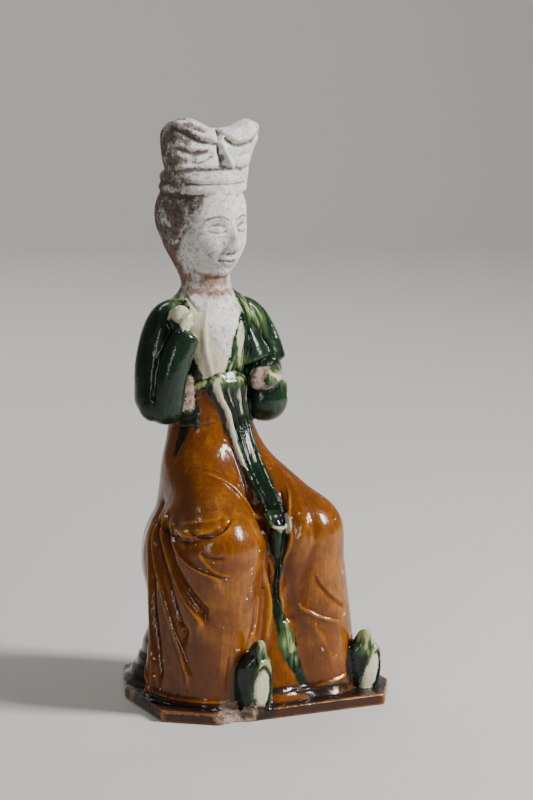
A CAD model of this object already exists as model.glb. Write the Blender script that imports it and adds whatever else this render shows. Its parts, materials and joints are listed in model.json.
"""A seated court attendant in glazed clay on a pale studio floor.

The form is worked out in millimetres, in the figure's own frame (midline at X 0, facing -Y, heights from the
slab's top), and placed in metres at the end.
"""
import json
import math

import bmesh
import bpy
import numpy as np
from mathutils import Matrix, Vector
from mathutils.kdtree import KDTree

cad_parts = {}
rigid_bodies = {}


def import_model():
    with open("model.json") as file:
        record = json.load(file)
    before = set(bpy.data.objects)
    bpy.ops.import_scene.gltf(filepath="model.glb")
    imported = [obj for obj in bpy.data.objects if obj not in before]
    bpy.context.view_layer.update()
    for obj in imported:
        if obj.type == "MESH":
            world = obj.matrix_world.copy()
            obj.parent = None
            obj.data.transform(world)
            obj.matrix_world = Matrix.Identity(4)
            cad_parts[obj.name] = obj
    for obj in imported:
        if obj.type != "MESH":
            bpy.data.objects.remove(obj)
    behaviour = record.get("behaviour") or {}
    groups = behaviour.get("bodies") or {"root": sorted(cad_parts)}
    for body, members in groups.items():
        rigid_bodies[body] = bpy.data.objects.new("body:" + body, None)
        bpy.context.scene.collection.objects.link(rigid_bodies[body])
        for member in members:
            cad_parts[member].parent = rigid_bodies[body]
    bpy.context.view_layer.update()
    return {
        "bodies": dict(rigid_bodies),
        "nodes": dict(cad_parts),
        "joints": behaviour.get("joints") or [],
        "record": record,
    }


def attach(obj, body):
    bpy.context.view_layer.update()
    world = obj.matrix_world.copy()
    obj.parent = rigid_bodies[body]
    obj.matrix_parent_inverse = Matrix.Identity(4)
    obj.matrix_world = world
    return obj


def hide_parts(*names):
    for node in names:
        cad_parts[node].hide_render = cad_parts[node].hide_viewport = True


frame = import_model()

# The figure's frame against the object's frame, in millimetres
PLACE = np.array([-12.36, 23.05, 7.5])
MM = 0.001

# The camera: its azimuth, height angle and distance, and where its target falls in a picture of 533 by 800
AZIMUTH, ELEVATION, DISTANCE = math.radians(-38), math.radians(10), 1800
TARGET = np.array([-23.36, 9.05, 190.0])
TARGET_PIXEL, PICTURE = (210.0, 411.4), (533.0, 800.0)
FOCAL_PIXELS = 2739.0
SENSOR = 36.0

# The joined surface: its grain in millimetres, its rounds of softening, and about how many triangles it keeps
VOXEL = 0.72
SOFTEN = 3
TRIANGLES = 190000


# Curves and distances

def mix(a, b, t):
    return a + (b - a) * t


def smoothstep(low, high, value):
    t = np.clip((value - low) / (high - low), 0, 1)
    return t * t * (3 - 2 * t)


def window(low, full, waning, gone, value):
    """Rises softly from 0 at low to 1 at full, and falls again from 1 at waning to 0 at gone."""
    return smoothstep(low, full, value) * smoothstep(gone, waning, value)


def bell(value, width):
    return np.exp(-(value / width) ** 2)


def along(rows, x, column=1):
    """The value at x on a soft curve through rows of (x, value), or (x, values) and the column of one."""
    xs = np.array([row[0] for row in rows], float)
    ys = np.array([row[column] for row in rows], float)
    slopes = np.empty_like(ys)
    slopes[1:-1] = (ys[2:] - ys[:-2]) / (xs[2:] - xs[:-2])
    slopes[0] = (ys[1] - ys[0]) / (xs[1] - xs[0])
    slopes[-1] = (ys[-1] - ys[-2]) / (xs[-1] - xs[-2])
    x = np.clip(x, xs[0], xs[-1])
    i = np.clip(np.searchsorted(xs, x, side="right") - 1, 0, len(xs) - 2)
    span = xs[i + 1] - xs[i]
    t = (x - xs[i]) / span
    return ((2 * t ** 3 - 3 * t ** 2 + 1) * ys[i] + (t ** 3 - 2 * t ** 2 + t) * span * slopes[i]
            + (3 * t ** 2 - 2 * t ** 3) * ys[i + 1] + (t ** 3 - t ** 2) * span * slopes[i + 1])


def blend(a, b, radius):
    """Two distances joined with a soft fillet of about that radius."""
    h = np.clip(0.5 + 0.5 * (b - a) / radius, 0, 1)
    return mix(b, a, h) - radius * h * (1 - h)


# A surface is met from OUTSIDE the figure, in so many steps, each MARCH of the distance that is left
OUTSIDE, MARCH = 130.0, 0.9
SKIRT_MARCHES, BAND_MARCHES = 45, 60


def limb(x, y, z, p1, r1, p2, r2):
    """Distance to a limb: a ball of radius r1 at p1 that runs to one of radius r2 at p2."""
    dx, dy, dz = (p2[i] - p1[i] for i in range(3))
    t = ((x - p1[0]) * dx + (y - p1[1]) * dy + (z - p1[2]) * dz) / (dx * dx + dy * dy + dz * dz)
    t = np.clip(t, 0, 1)
    away = np.sqrt((x - p1[0] - dx * t) ** 2 + (y - p1[1] - dy * t) ** 2 + (z - p1[2] - dz * t) ** 2)
    return away - mix(r1, r2, t)


def rotated(u, v, degrees):
    """Two coordinates turned round their origin, the first towards the second."""
    c, s = math.cos(math.radians(degrees)), math.sin(math.radians(degrees))
    return u * c - v * s, u * s + v * c


def circle(count):
    """Angles spaced evenly round a full turn."""
    return np.linspace(0, 2 * np.pi, count, endpoint=False)


# Closed shells as (points, faces)

def shell(rings):
    """Rings of points, each closed on itself, with both ends closed by a point."""
    count, around, _ = rings.shape
    points = np.vstack([rings.reshape(-1, 3), rings[0].mean(0), rings[-1].mean(0)])
    index = np.arange(count * around).reshape(count, around)
    ahead = np.roll(index, -1, axis=1)
    walls = np.stack([index[:-1], ahead[:-1], ahead[1:], index[1:]], axis=-1).reshape(-1, 4)
    low = np.stack([np.full(around, count * around), ahead[0], index[0]], axis=-1)
    high = np.stack([np.full(around, count * around + 1), index[-1], ahead[-1]], axis=-1)
    return points, [*walls.tolist(), *low.tolist(), *high.tolist()]


def drum(around, steps, place):
    """An upright drum whose wall is place(angle, t)."""
    angle = circle(around)[None, :] + np.zeros((steps + 1, 1))
    t = np.linspace(0, 1, steps + 1)[:, None] + np.zeros((1, around))
    return shell(np.stack(np.broadcast_arrays(*place(angle, t)), axis=-1))


def curve_points(points, shares):
    """Points and directions at shares of the length of a soft curve through points."""
    points = np.array(points, float)
    steps = np.concatenate([[0], np.cumsum(np.linalg.norm(np.diff(points, axis=0), axis=1))])
    rows = [list(zip(steps, points[:, i])) for i in range(3)]
    at = shares * steps[-1]
    spot = np.stack([along(row, at) for row in rows], axis=-1)
    way = np.stack([along(row, at + 0.2) - along(row, at - 0.2) for row in rows], axis=-1)
    return spot, way / np.linalg.norm(way, axis=1, keepdims=True)


def ring(radius, thick, around, across, place):
    """A ring of round section, whose points go where place(x, y, z) puts them."""
    turn, side = circle(around)[:, None], circle(across)[None, :]
    out = radius + thick * np.cos(side)
    spots = place(out * np.cos(turn), out * np.sin(turn), thick * np.sin(side) + 0 * turn)
    index = np.arange(around * across).reshape(around, across)
    right, down = np.roll(index, -1, axis=1), np.roll(index, -1, axis=0)
    corner = np.roll(right, -1, axis=0)
    faces = np.stack([index, down, corner, right], axis=-1)
    return np.stack(spots, axis=-1).reshape(-1, 3), faces.reshape(-1, 4).tolist()


# The share of a tube's rings in each round end, the gap at a ball's poles, and the points of both
TUBE_CAP, TUBE_AROUND, TUBE_RINGS = 0.18, 120, 160
BALL_POLE, BALL_AROUND, BALL_RINGS = 0.004, 140, 100


def tube(points, first, last, domes=(1, 1)):
    """A tube along a curve, from first to last as (half across, half deep).

    Each end bulges by its share of a full round.
    """
    share = np.linspace(0.002, 0.998, TUBE_RINGS)
    end = np.where(share < TUBE_CAP, share / TUBE_CAP - 1, np.maximum(0, (share - 1 + TUBE_CAP) / TUBE_CAP))
    t = np.clip((share - TUBE_CAP) / (1 - 2 * TUBE_CAP), 0, 1)
    spot, way = curve_points(points, t)
    side = np.cross([0, -1, 0], way)
    side /= np.linalg.norm(side, axis=1, keepdims=True)
    front = np.cross(way, side)
    a, b = (mix(first[i], last[i], t) for i in (0, 1))
    reach = np.sqrt(1 - end ** 2)
    bulge = end * np.where(end < 0, domes[0], domes[1]) * np.minimum(a, b)
    spot = spot + way * bulge[:, None]
    angle = circle(TUBE_AROUND)
    return shell(spot[:, None, :] + side[:, None, :] * (np.cos(angle) * (a * reach)[:, None])[..., None]
                 + front[:, None, :] * (np.sin(angle) * (b * reach)[:, None])[..., None])


def ball(centre, radii, relief=lambda x, y, z: 0, tip=0.0):
    """A ball pushed out by relief as a share, its pole tipped from Y towards Z by tip degrees."""
    polar = np.linspace(BALL_POLE, np.pi - BALL_POLE, BALL_RINGS)[:, None]
    angle = circle(BALL_AROUND)[None, :]
    x = np.sin(polar) * np.cos(angle)
    y = np.cos(polar) + 0 * angle
    z = -np.sin(polar) * np.sin(angle)
    push = 1 + relief(x, y, z)
    x = x * radii[0] * push
    y, z = rotated(y * radii[1] * push, z * radii[2] * push, tip)
    return shell(np.stack([x + centre[0], y + centre[1], z + centre[2]], axis=-1))


# The skirt

RIGHT_KNEE, LEFT_KNEE = (-33, -50, 100), (31, -58, 103)
HIP_SIZE = [(0, 39), (54, 40), (72, 43.5), (85, 44), (97, 42), (107, 38.5), (117, 35), (131, 33.5), (144, 32),
            (157, 30), (171, 28.5), (190, 27), (202, 25.5)]
HIP_SIDE = [(110, -1), (150, 2), (185, 1.5), (202, 0)]
SKIRT_TOP = 202
# The lap, the shins and the folds of cloth behind them: (place, radius, place, radius, fillet to the rest)
LEGS = [
    ((-1, -44, 98), 18, (3, -58, -10), 28, 10),
    (RIGHT_KNEE, 28, (-33, -46, -10), 28, 7),
    (LEFT_KNEE, 26, (38, -60, -10), 32, 7),
    ((-32, -18, 96), 25, (-43, -28, -10), 26, 14),
    ((30, -18, 96), 25, (48, -28, -10), 27, 14),
]


def skirt_distance(x, y, z):
    d = np.hypot(x - along(HIP_SIDE, z), (y - 3) * 1.06) - along(HIP_SIZE, z)
    thighs = np.minimum(limb(x, y, z, (-12, -6, 144), 21, RIGHT_KNEE, 28),
                        limb(x, y, z, (12, -8, 146), 21, LEFT_KNEE, 26))
    d = blend(d, thighs, 16)
    for start, thick, end, thin, fillet in LEGS:
        d = blend(d, limb(x, y, z, start, thick, end, thin), fillet)
    return d


# The folds: (rise, width, path), each path in rows of (height, degrees round the skirt's axis)
FOLDS = [
    (1.8, 6, [(0, 162), (30, 152), (60, 143), (90, 139), (112, 146)]),
    (-4.6, 2.3, [(0, 171), (23, 168), (41, 163), (60, 157), (79, 154), (95, 154), (114, 157)]),
    (2.4, 2.2, [(5, 178), (24, 176), (37, 174), (62, 167), (87, 163), (110, 162)]),
    (-2.4, 2, [(20, 185), (38, 180), (63, 172), (88, 168.5), (108, 167)]),
    (2.6, 2.2, [(20, 206), (36, 200), (52, 191), (72, 181), (89, 175), (110, 172)]),
    (-2.8, 2.1, [(50, 204), (56, 199), (75, 190), (92, 182), (108, 177)]),
    (2.8, 2.4, [(58, 214), (68, 206), (82, 197), (97, 190), (112, 183)]),
    (-2.9, 2.4, [(66, 217), (79, 207), (94, 198), (108, 190)]),
    (2.6, 2.6, [(86, 226), (92, 215), (99, 206), (110, 197)]),
    (-2, 2.4, [(111, 212), (112, 220), (118, 233)]),
    (1.5, 2.6, [(119, 211), (121, 220), (124, 232)]),
    (2, 2.4, [(58, 277), (80, 283), (102, 283), (124, 288), (140, 299)]),
    (-1.8, 2.4, [(66, 287), (90, 290), (112, 290)]),
    (1.5, 2.6, [(24, 298), (40, 294), (52, 290), (64, 287), (74, 285)]),
    (1.4, 2.2, [(30, 256), (42, 261), (66, 268), (92, 262)]),
    (-1.4, 2.2, [(44, 268), (66, 274), (88, 269)]),
    *[(rise, 6, [(26, at), (60, at), (102, at + 3)])
      for rise, at in ((1.8, 20), (-2, 44), (1.8, 70), (-2, 92), (1.8, 113))],
]
FOLD_FADE = 13


def fold_relief(z, angle, radius):
    total = np.zeros_like(z)
    turned = np.degrees(angle) % 360
    for rise, width, path in FOLDS:
        low, high = path[0][0], path[-1][0]
        fade = window(low - FOLD_FADE, low + 1, high - 1, high + FOLD_FADE, z)
        off = (turned - along(path, z) + 180) % 360 - 180
        total += rise * fade * bell(np.radians(off) * radius, width)
    return total


def skirt_axis(z):
    t = smoothstep(60, 170, z)
    return mix(-4, 0, t), mix(-26, -2, t)


def hem_height(angle):
    return 24 * smoothstep(0.35, 0.8, np.sin(angle))


HEM_FLARE, HEM_EDGE = 4.5, 1.1


def hem_spread(angle, z):
    """How far the hem spreads on the slab: widest between the shoes, a small rounded edge elsewhere."""
    middle = HEM_FLARE * (1 - smoothstep(0, 9, z)) * smoothstep(-0.75, -0.95, np.sin(angle))
    return middle + HEM_EDGE * (1 - smoothstep(0, 3.2, z - hem_height(angle)))


def on_skirt(z, angle, relief=lambda r: 0):
    """Places on the skirt at heights z and angles round its axis, pushed out by relief at their radius."""
    cx, cy = skirt_axis(z)
    dx, dy = np.cos(angle), np.sin(angle)
    r = np.full_like(z, OUTSIDE)
    for _ in range(SKIRT_MARCHES):
        r -= MARCH * np.maximum(skirt_distance(cx + dx * r, cy + dy * r, z), -20)
    r = r + relief(r)
    return cx + dx * r, cy + dy * r, z


def skirt():
    def place(angle, t):
        z = mix(hem_height(angle), SKIRT_TOP, t) - 1.5 * (t == 0)
        return on_skirt(z, angle, lambda r: fold_relief(z, angle, r) + hem_spread(angle, z))
    return drum(560, 300, place)


# The torso and what lies on it

TORSO_HALF_WIDTH = [(185, 25), (200, 24.5), (215, 26), (230, 29), (242, 31), (250, 30.5), (256, 26),
                    (260, 20), (264, 17), (270, 16), (288, 16)]
TORSO_HALF_DEPTH = [(185, 23), (203, 23.5), (215, 24.5), (230, 23), (242, 21.5), (250, 20), (256, 18),
                    (261, 16.5), (268, 15.5), (288, 15.5)]
TORSO_LEAN = [(185, 3), (203, 3), (225, 1), (240, 0), (262, 3.5), (288, 5)]


def torso_distance(x, y, z):
    a, b = along(TORSO_HALF_WIDTH, z), along(TORSO_HALF_DEPTH, z)
    return (np.hypot(x / a, (y - along(TORSO_LEAN, z)) / b) - 1) * np.minimum(a, b)


def torso():
    def place(angle, t):
        z = mix(185, 288, t)
        a, b = along(TORSO_HALF_WIDTH, z), along(TORSO_HALF_DEPTH, z)
        return np.cos(angle) * a, np.sin(angle) * b + along(TORSO_LEAN, z), z
    return drum(240, 160, place)


def band(distance, rows, proud, across, steps):
    """A band of cloth on a form's front. rows are (height, x of its middle, half width), top row last."""
    s = np.linspace(0, 1, steps)[:, None]
    w = np.concatenate([np.linspace(-1, 1, across), np.linspace(1, -1, across)])[None, :]
    outside = np.concatenate([np.ones(across), np.zeros(across)])[None, :]
    z = mix(rows[0][0], rows[-1][0], s) + 0 * w
    x = along(rows, z) + w * along(rows, z, 2)
    y = np.full_like(z, -OUTSIDE)
    for _ in range(BAND_MARCHES):
        y += distance(x, y, z) * MARCH
    y = np.minimum(y, 0)
    y = np.where(outside > 0, y - proud(s, w), y + 4)
    return shell(np.stack([x, y, z], axis=-1))


SASH = [(117, 5.5, 4.4), (124, 6, 4.6), (133, 6.3, 5.2), (146, 6.5, 7.2), (160, 7, 10), (176, 6.5, 13),
        (184, 5.5, 14.5), (191, 3, 16), (198, 1.5, 17.5), (203.5, 0.5, 15.5), (206.8, 0, 10.5),
        (209, -0.5, 4.5)]
SASH_PROUD, SASH_SUNK, SASH_ROLL = 2.4, 0.6, 2.8
# Pleats across the sash: (place from -1 to 1, width, rise)
PLEATS = [(-0.76, 0.15, 1.5), (-0.49, 0.07, -1.5), (-0.33, 0.1, 0.8), (-0.18, 0.05, -1.1), (-0.04, 0.07, 0.5),
          (0.09, 0.045, -0.8), (0.22, 0.09, 1.0), (0.39, 0.06, -1.2), (0.6, 0.12, 1.0), (0.84, 0.06, -0.9)]
LEFT_EDGE = [(207, -3, 2), (218, 2, 2), (229, 9, 2.2), (243, 13, 2.2), (256, 12, 1.6)]
RIGHT_EDGE = [(207, -13, 2), (218, -16, 2), (229, -18, 2.2), (243, -18, 2.2), (256, -13, 1.6)]


def pleat_place(s, w):
    """Where w across the sash lies among its pleats, which wave as they go up it with s."""
    return w + 0.05 * np.sin(9 * s + 2 * w)


def sash():
    def distance(x, y, z):
        return blend(skirt_distance(x, y, z), torso_distance(x, y, z), 5)

    def proud(s, w):
        edge = np.sqrt(np.maximum(0, 1 - np.abs(w) ** 8))
        end = smoothstep(0, 0.05, s) * (1 - 0.5 * smoothstep(0.93, 1, s))
        bent = pleat_place(s, w)
        pleats = sum(rise * bell(bent - at, width) for at, width, rise in PLEATS) * smoothstep(0.93, 0.82, s)
        return (SASH_PROUD + SASH_ROLL * bell(s - 0.91, 0.07) + pleats) * edge * end - SASH_SUNK
    return band(distance, SASH, proud, 160, 260)


def waist_roll():
    half = (2.8, 2.8)
    return tube([(-8, -20.5, 206), (-14, -17, 203), (-19, -12, 199.5), (-23, -6, 194)], half, half)


def jacket_edge(rows):
    return band(torso_distance, rows, lambda s, w: 1.5 * (1 - w * w) - 0.2 + 0 * s, 24, 120)


LOOP_RADIUS, LOOP_THICKNESS, LOOP_TIP = 6.8, 1.5, 44


def sash_end():
    """The loop at the sash's end, the cloth inside it and the tab that hangs from it."""
    def place(x, y, z):
        y, z = rotated(y, z, LOOP_TIP)
        return x + 3.4, y - 65.5, z + 116.5
    loop = ring(LOOP_RADIUS, LOOP_THICKNESS, 90, 30, place)
    return [loop, ball((3.4, -63, 116), (6, 3.5, 5)), ball((4.4, -65.5, 104), (5.6, 4.5, 12.5))]


# The arms

def right_arm():
    return [
        tube([(-15, 3, 244), (-31, 4, 241), (-40, 4, 217), (-42, 2, 194)], (13.5, 13.5), (15, 16)),
        tube([(-41, -5, 188), (-41, -10, 207), (-37.5, -12.5, 221), (-31, -13.5, 234.5)],
             (12.5, 12), (9.8, 9.8), (1, 0.35)),
        tube([(-44, 0, 191), (-35, -4, 187.5), (-27, -7, 187.5)], (14, 12.5), (8, 8)),
    ]


def right_web():
    """The web of clay between the right forearm and the body."""
    return tube([(-23, -7, 205), (-26.5, -10, 195), (-29, -11, 186)], (2.5, 2.5), (6, 6))


def right_fist():
    """A closed hand: four folded fingers, one above the other, and the thumb along them."""
    def fingers(x, y, z):
        grooves = sum(bell(z - at, 0.07) for at in (-0.46, -0.04, 0.38))
        return -0.22 * grooves * smoothstep(-0.3, 0.3, x - 0.6 * y) * smoothstep(1, 0.8, np.abs(z))
    thumb = tube([(-37.5, -15.5, 240), (-35, -18.5, 245.5), (-30.5, -18.6, 249)], (3, 3), (2, 2))
    return [ball((-32.5, -10.5, 244), (8, 8, 10.5), fingers), thumb]


def left_arm():
    """The sleeve and the stump of the forearm, which is broken off at the wrist."""
    def rough(x, y, z):
        return 0.11 * np.sin(6 * x + 4 * z) * np.sin(8 * z - 3 * x)
    return [
        tube([(13, 1, 244), (30, 1, 240), (40, 0, 225), (43, -3, 210)], (12.5, 13), (14.5, 16.5), (1, 0.3)),
        tube([(16, -3, 241), (22, -8, 226), (25.5, -11, 214)], (10, 10), (13, 13), (1, 0.3)),
        tube([(23, -6, 216), (25, -8, 202), (26, -8, 188)], (11, 11), (11, 11)),
        tube([(43, -6, 204), (36, -16, 203.5), (27, -25, 203), (19.5, -29, 203)], (10.5, 11), (8.5, 8.5),
             (1, 0.3)),
        ball((19, -29.5, 203), (7.8, 3.6, 8.2), rough),
        tube([(35, -14, 196), (34.5, -15, 191), (34, -16, 186.5)], (15.2, 15.2), (15.2, 15.2), (0.25, 1)),
    ]


# The head

HEAD_CENTRE, HEAD_SIZE, HEAD_FULLNESS = (0, 3, 302.5), (25.5, 28, 35), 2.5
FACE_UNIT = HEAD_SIZE[2] / 32.5
EYE_APART = 9.5


def eyelid(side):
    """The height of the closed eye's lid line, at side from the eye's middle."""
    return -1.6 + 0.05 * side ** 2


def mouth_line(x):
    return -19.4 + 0.018 * x ** 2 - 0.25 * bell(x, 1.3)


# Rounded forms of the face: (rise, place to the side, width, place above the eye line, height)
FACE_FORMS = [
    (1.1, 3.9, 1.5, -12.2, 1.9), (-1.5, 2.1, 1.1, -14.4, 0.8), (-0.7, 6.2, 1.6, -12.5, 2.5),
    (-2.3, EYE_APART, 7.5, 0, 5.5), (2.4, EYE_APART, 4.6, -0.4, 2.7), (1.3, 0, 9, -19.5, 6),
    (-0.5, 0, 1.1, -16.4, 1.4), (-0.8, 0, 6, -23.6, 1.4), (1.7, 0, 6.5, -27.5, 3.6), (1.3, 13, 7, -9, 8),
]


def face_relief(x, z):
    """How far the face stands forward of its oval, at x across and z above the eye line, in face units."""
    side = np.abs(x)
    out = 5.6 * window(-14.5, -11.5, -8, 7, z) * bell(x, mix(4.4, 2.7, smoothstep(-11, 0, z)))
    for rise, at, width, above, height in FACE_FORMS:
        out += rise * bell(side - at, width) * bell(z - above, height)
    eye = side - EYE_APART
    out -= 1.0 * bell(z - eyelid(eye), 0.6) * smoothstep(5.8, 4.4, np.abs(eye))
    out -= 0.6 * bell(z - 3.1 + 0.08 * eye ** 2, 0.7) * smoothstep(6, 4.6, np.abs(eye))
    out += 0.9 * bell(z - 7.4 + 0.05 * eye ** 2, 1.6) * smoothstep(8, 6, np.abs(eye))
    lips = z - mouth_line(x)
    out += 1.5 * bell(lips - 1.35 - 0.45 * bell(side - 1.9, 1.4), 1.1) * smoothstep(6.8, 4.2, side)
    out += 1.6 * bell(lips + 1.7, 1.4) * smoothstep(5.8, 3.4, side)
    out -= 1.3 * bell(lips, 0.55) * smoothstep(7.4, 6.2, side)
    return out - 0.7 * bell(side - 7.2, 1.4) * bell(lips - 0.2, 1.3)


def head():
    def place(round_, t):
        z = -np.cos(np.pi * np.clip(t, 0.004, 0.996)) * HEAD_SIZE[2]
        level = (1 - (np.abs(z) / HEAD_SIZE[2]) ** HEAD_FULLNESS) ** (1 / HEAD_FULLNESS)
        jaw = 1 - 0.16 * smoothstep(2, -30, z)
        x = np.sin(round_) * level * HEAD_SIZE[0] * jaw
        y = -np.cos(round_) * level * HEAD_SIZE[1] * mix(1, jaw, 0.5)
        front = smoothstep(0.1, 0.6, np.cos(round_)) * smoothstep(0, 0.4, level)
        relief = front * FACE_UNIT * face_relief(x / FACE_UNIT, z / FACE_UNIT)
        edge = HEAD_CENTRE[1] + y - along(HAIR_EDGE, HEAD_CENTRE[2] + z)
        edge = edge + 1.2 * np.sin(0.9 * z) * np.sin(0.5 * x)
        relief = relief + 1.3 * smoothstep(-0.5, 0.9, edge)
        return HEAD_CENTRE[0] + x, HEAD_CENTRE[1] + y - relief, HEAD_CENTRE[2] + z
    return drum(360, 260, place)


# The hairline on the sides of the head: rows of (height, y)
HAIR_EDGE = [(280, 9), (288, 4), (296, -1), (305, -6), (313, -11.5), (319, -16), (324, -20)]
HAIR_TIP, HAIR_CENTRE, HAIR_SIZE, HAIR_LINE = 44, (0, 9.5, 309), (30.5, 31.5, 29), 0.5
# Rows of (height, half width, half depth, y of the middle)
NAPE = [(262, 16, 15.5, 4), (268, 16, 16, 6), (274, 17.5, 17.5, 7.5), (280, 20, 19, 9), (287, 23, 22, 10.5),
        (294, 25.2, 24.5, 11), (300, 24.5, 24, 11)]


def hair():
    def relief(x, y, z):
        return -0.3 * smoothstep(-HAIR_LINE, -HAIR_LINE - 0.06, y + 0.012 * np.sin(9 * x) * np.sin(7 * z))
    return ball(HAIR_CENTRE, HAIR_SIZE, relief, HAIR_TIP)


def nape():
    def place(angle, t):
        z = mix(NAPE[0][0], NAPE[-1][0], t)
        half, deep, y = (along(NAPE, z, column) for column in (1, 2, 3))
        return np.cos(angle) * half, y + np.sin(angle) * deep, z
    return drum(140, 60, place)


KNOT_CENTRE, KNOT_TURN, KNOT_FOOT, KNOT_TIP, KNOT_DEPTH, KNOT_WALL = (0, 3), -7, 326, 376, 15, 0.68
KNOT_RIGHT_TOP, KNOT_LEFT_TOP, KNOT_WAIST = 376, 374.3, 341
KNOT_DIP_X, KNOT_DIP_TOP, KNOT_DIP_REACH = 4, 367.5, 24
KNOT_RIGHT = [(326, 26), (338, 28), (350, 31), (362, 32), (KNOT_TIP, 30.5)]
KNOT_LEFT = [(326, 27), (338, 29), (350, 32), (360, 37), (KNOT_TIP, 36)]
KNOT_GROOVES = [(-34, 371), (-25, 366), (-14, 360), (0, 357.5), (4, 361), (14.5, 356), (27, 358), (33, 363)]
STRANDS = [
    (-2.2, 1.8, [(-31, 356), (-17, 352), (-7, 353)]), (-1.4, 1.4, [(-28, 349), (-14, 345.5), (-3, 350)]),
    (1.2, 2.2, [(-31, 360), (-17, 356), (-6, 356)]), (-1.4, 0.9, [(16, 349), (26, 351), (34, 356)]),
    (-0.8, 0.9, [(-27, 371), (-12, 366), (-1, 363)]), (-0.8, 0.9, [(7, 365), (16, 361), (28, 364)]),
]


def knot_top(x, y):
    wing = smoothstep(2, 2 + KNOT_DIP_REACH, np.abs(x - KNOT_DIP_X))
    top = mix(KNOT_DIP_TOP, np.where(x < KNOT_DIP_X, KNOT_RIGHT_TOP, KNOT_LEFT_TOP), wing)
    return top - 0.04 * np.maximum(0, x - 25) ** 2 - 0.033 * np.maximum(0, y + 9) ** 2


def knot_relief(x, z):
    groove = along(KNOT_GROOVES, x)
    away = np.abs(x - 2)
    out = -3.4 * bell(z - groove, 2.0) * smoothstep(1, 5, away)
    out += 1.8 * bell(z - groove - 4.5, 3) * smoothstep(3, 8, away)
    for rise, width, path in STRANDS:
        ends = window(path[0][0] - 3, path[0][0] + 1, path[-1][0] - 2, path[-1][0] + 2, x)
        out += rise * bell(z - along(path, x), width) * ends
    out -= 2.4 * bell(z - KNOT_WAIST - 0.8 * np.sin(0.3 * x), 2.2)
    out -= 3.8 * bell(x - 1, 1.9) * smoothstep(KNOT_WAIST + 5, KNOT_WAIST + 13, z)
    out -= 5 * bell(x - 2.5, 1.6) * bell(z - 364.5, 1.9)
    out -= 5 * bell(x - 4.5 - 0.25 * (z - 350), 3.0) * bell(z - 347.5, 4.5)
    strand = bell(x - 9 + (z - KNOT_WAIST - 4) * 0.55, 2.2)
    return out + 3.2 * strand * smoothstep(KNOT_WAIST + 25, KNOT_WAIST + 11, z)


def topknot():
    def place(angle, t):
        c, s = np.cos(angle), np.sin(angle)
        square = (np.abs(c) ** 3 + np.abs(s) ** 3) ** (-1 / 3)
        inward = smoothstep(KNOT_WALL, 1, t)
        widest = np.where(c < 0, KNOT_RIGHT[-1][1], KNOT_LEFT[-1][1])
        rim_top = knot_top(c * square * widest, s * square * KNOT_DEPTH) - 2.5
        wall_z = mix(KNOT_FOOT, rim_top, np.minimum(t / KNOT_WALL, 1))
        reach = square * (1 - 0.985 * inward)
        x = c * reach * np.where(c < 0, along(KNOT_RIGHT, wall_z), along(KNOT_LEFT, wall_z))
        y = s * reach * KNOT_DEPTH
        z = np.where(inward > 0, knot_top(x, y) - 2.5 * bell(inward, 0.25), wall_z)
        y = y - np.where(s < 0, knot_relief(x, z) * -s * (1 - inward), 0)
        x, y = rotated(x, y, KNOT_TURN)
        return x + KNOT_CENTRE[0], y + KNOT_CENTRE[1], z
    return drum(260, 200, place)


def knot_band():
    """Two rings of hair under the topknot, and the drum that they lie round."""
    rings = [ring(radius, 4, 200, 40, lambda x, y, z: (x, 8 + 1.05 * y, level + z))
             for level, radius in ((328.5, 24), (335, 23.4))]
    return [*rings, drum(120, 20, lambda a, t: (24 * np.cos(a), 8 + 25.2 * np.sin(a), mix(322.5, 340, t)))]


# The shoes, the stool and the slab

# The pale ovals on the front of the shoes: (x, z, half width, tilt)
OVAL_HEIGHT, OVAL_RIGHT, OVAL_LEFT = 12, (-27.5, 14, 5.6, 0), (60, 11, 5.6, 0.3)
# Rows of (share of the toe's height, half width, half depth)
SHOE = [(0, 11, 12), (0.2, 12.8, 12), (0.45, 13.2, 11.5), (0.62, 12.2, 10), (0.7, 9.8, 8.6), (0.76, 6.9, 7.4),
        (0.87, 5.2, 5.6), (0.95, 3.6, 4), (1, 1.4, 2)]


def shoe(x, y, height, lean, front):
    """A shoe with a tall turned-up toe. front is the pale oval on it: (x, z, half width, tilt)."""
    def place(angle, t):
        half, deep = along(SHOE, t), along(SHOE, t, 2)
        z = mix(-1.5, height, t)
        across = x + lean * t * t + np.cos(angle) * half
        above = z - front[1]
        from_oval = np.hypot((across - front[0] - front[3] * above) / front[2], above / OVAL_HEIGHT)
        frame = 1.7 * bell(from_oval - 1.42, 0.2) - 1.6 * bell(from_oval - 1.1, 0.1)
        dent = 1.2 * bell(np.degrees(angle) + 90, 16) * bell(t - 0.74, 0.09)
        reach = deep + (frame * smoothstep(0.2, 0.6, -np.sin(angle)) - dent) * smoothstep(0, 0.1, t)
        return across, y + deep - 2 * t + np.sin(angle) * reach, z
    return drum(240, 200, lambda angle, t: place((angle + np.pi) % (2 * np.pi) - np.pi, t))


# The stool's outline from the slab up: rows of (radius, height)
STOOL = [(50, -1.5), (50, 1.2), (46.5, 3.5), (44, 8.5), (41.5, 10.5), (39.8, 16.5), (37.5, 19), (36.5, 26),
         (33.5, 33), (30, 50.4), (30, 74), (20, 84)]


def stool():
    rows = np.array(STOOL)
    angle = circle(160)
    steps = np.concatenate([[0], np.cumsum(np.linalg.norm(np.diff(rows, axis=0), axis=1))])
    at = np.linspace(0, steps[-1], 120)
    r, z = np.interp(at, steps, rows[:, 0])[:, None], np.interp(at, steps, rows[:, 1])[:, None]
    return shell(np.stack([-10 + r * np.cos(angle), 2 + r * np.sin(angle), z + 0 * angle], axis=-1))


BASE_WIDTH, BASE_DEPTH, BASE_TURN, BASE_CENTRE = 168, 155, -14.3, (14.6, -19.7)
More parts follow.
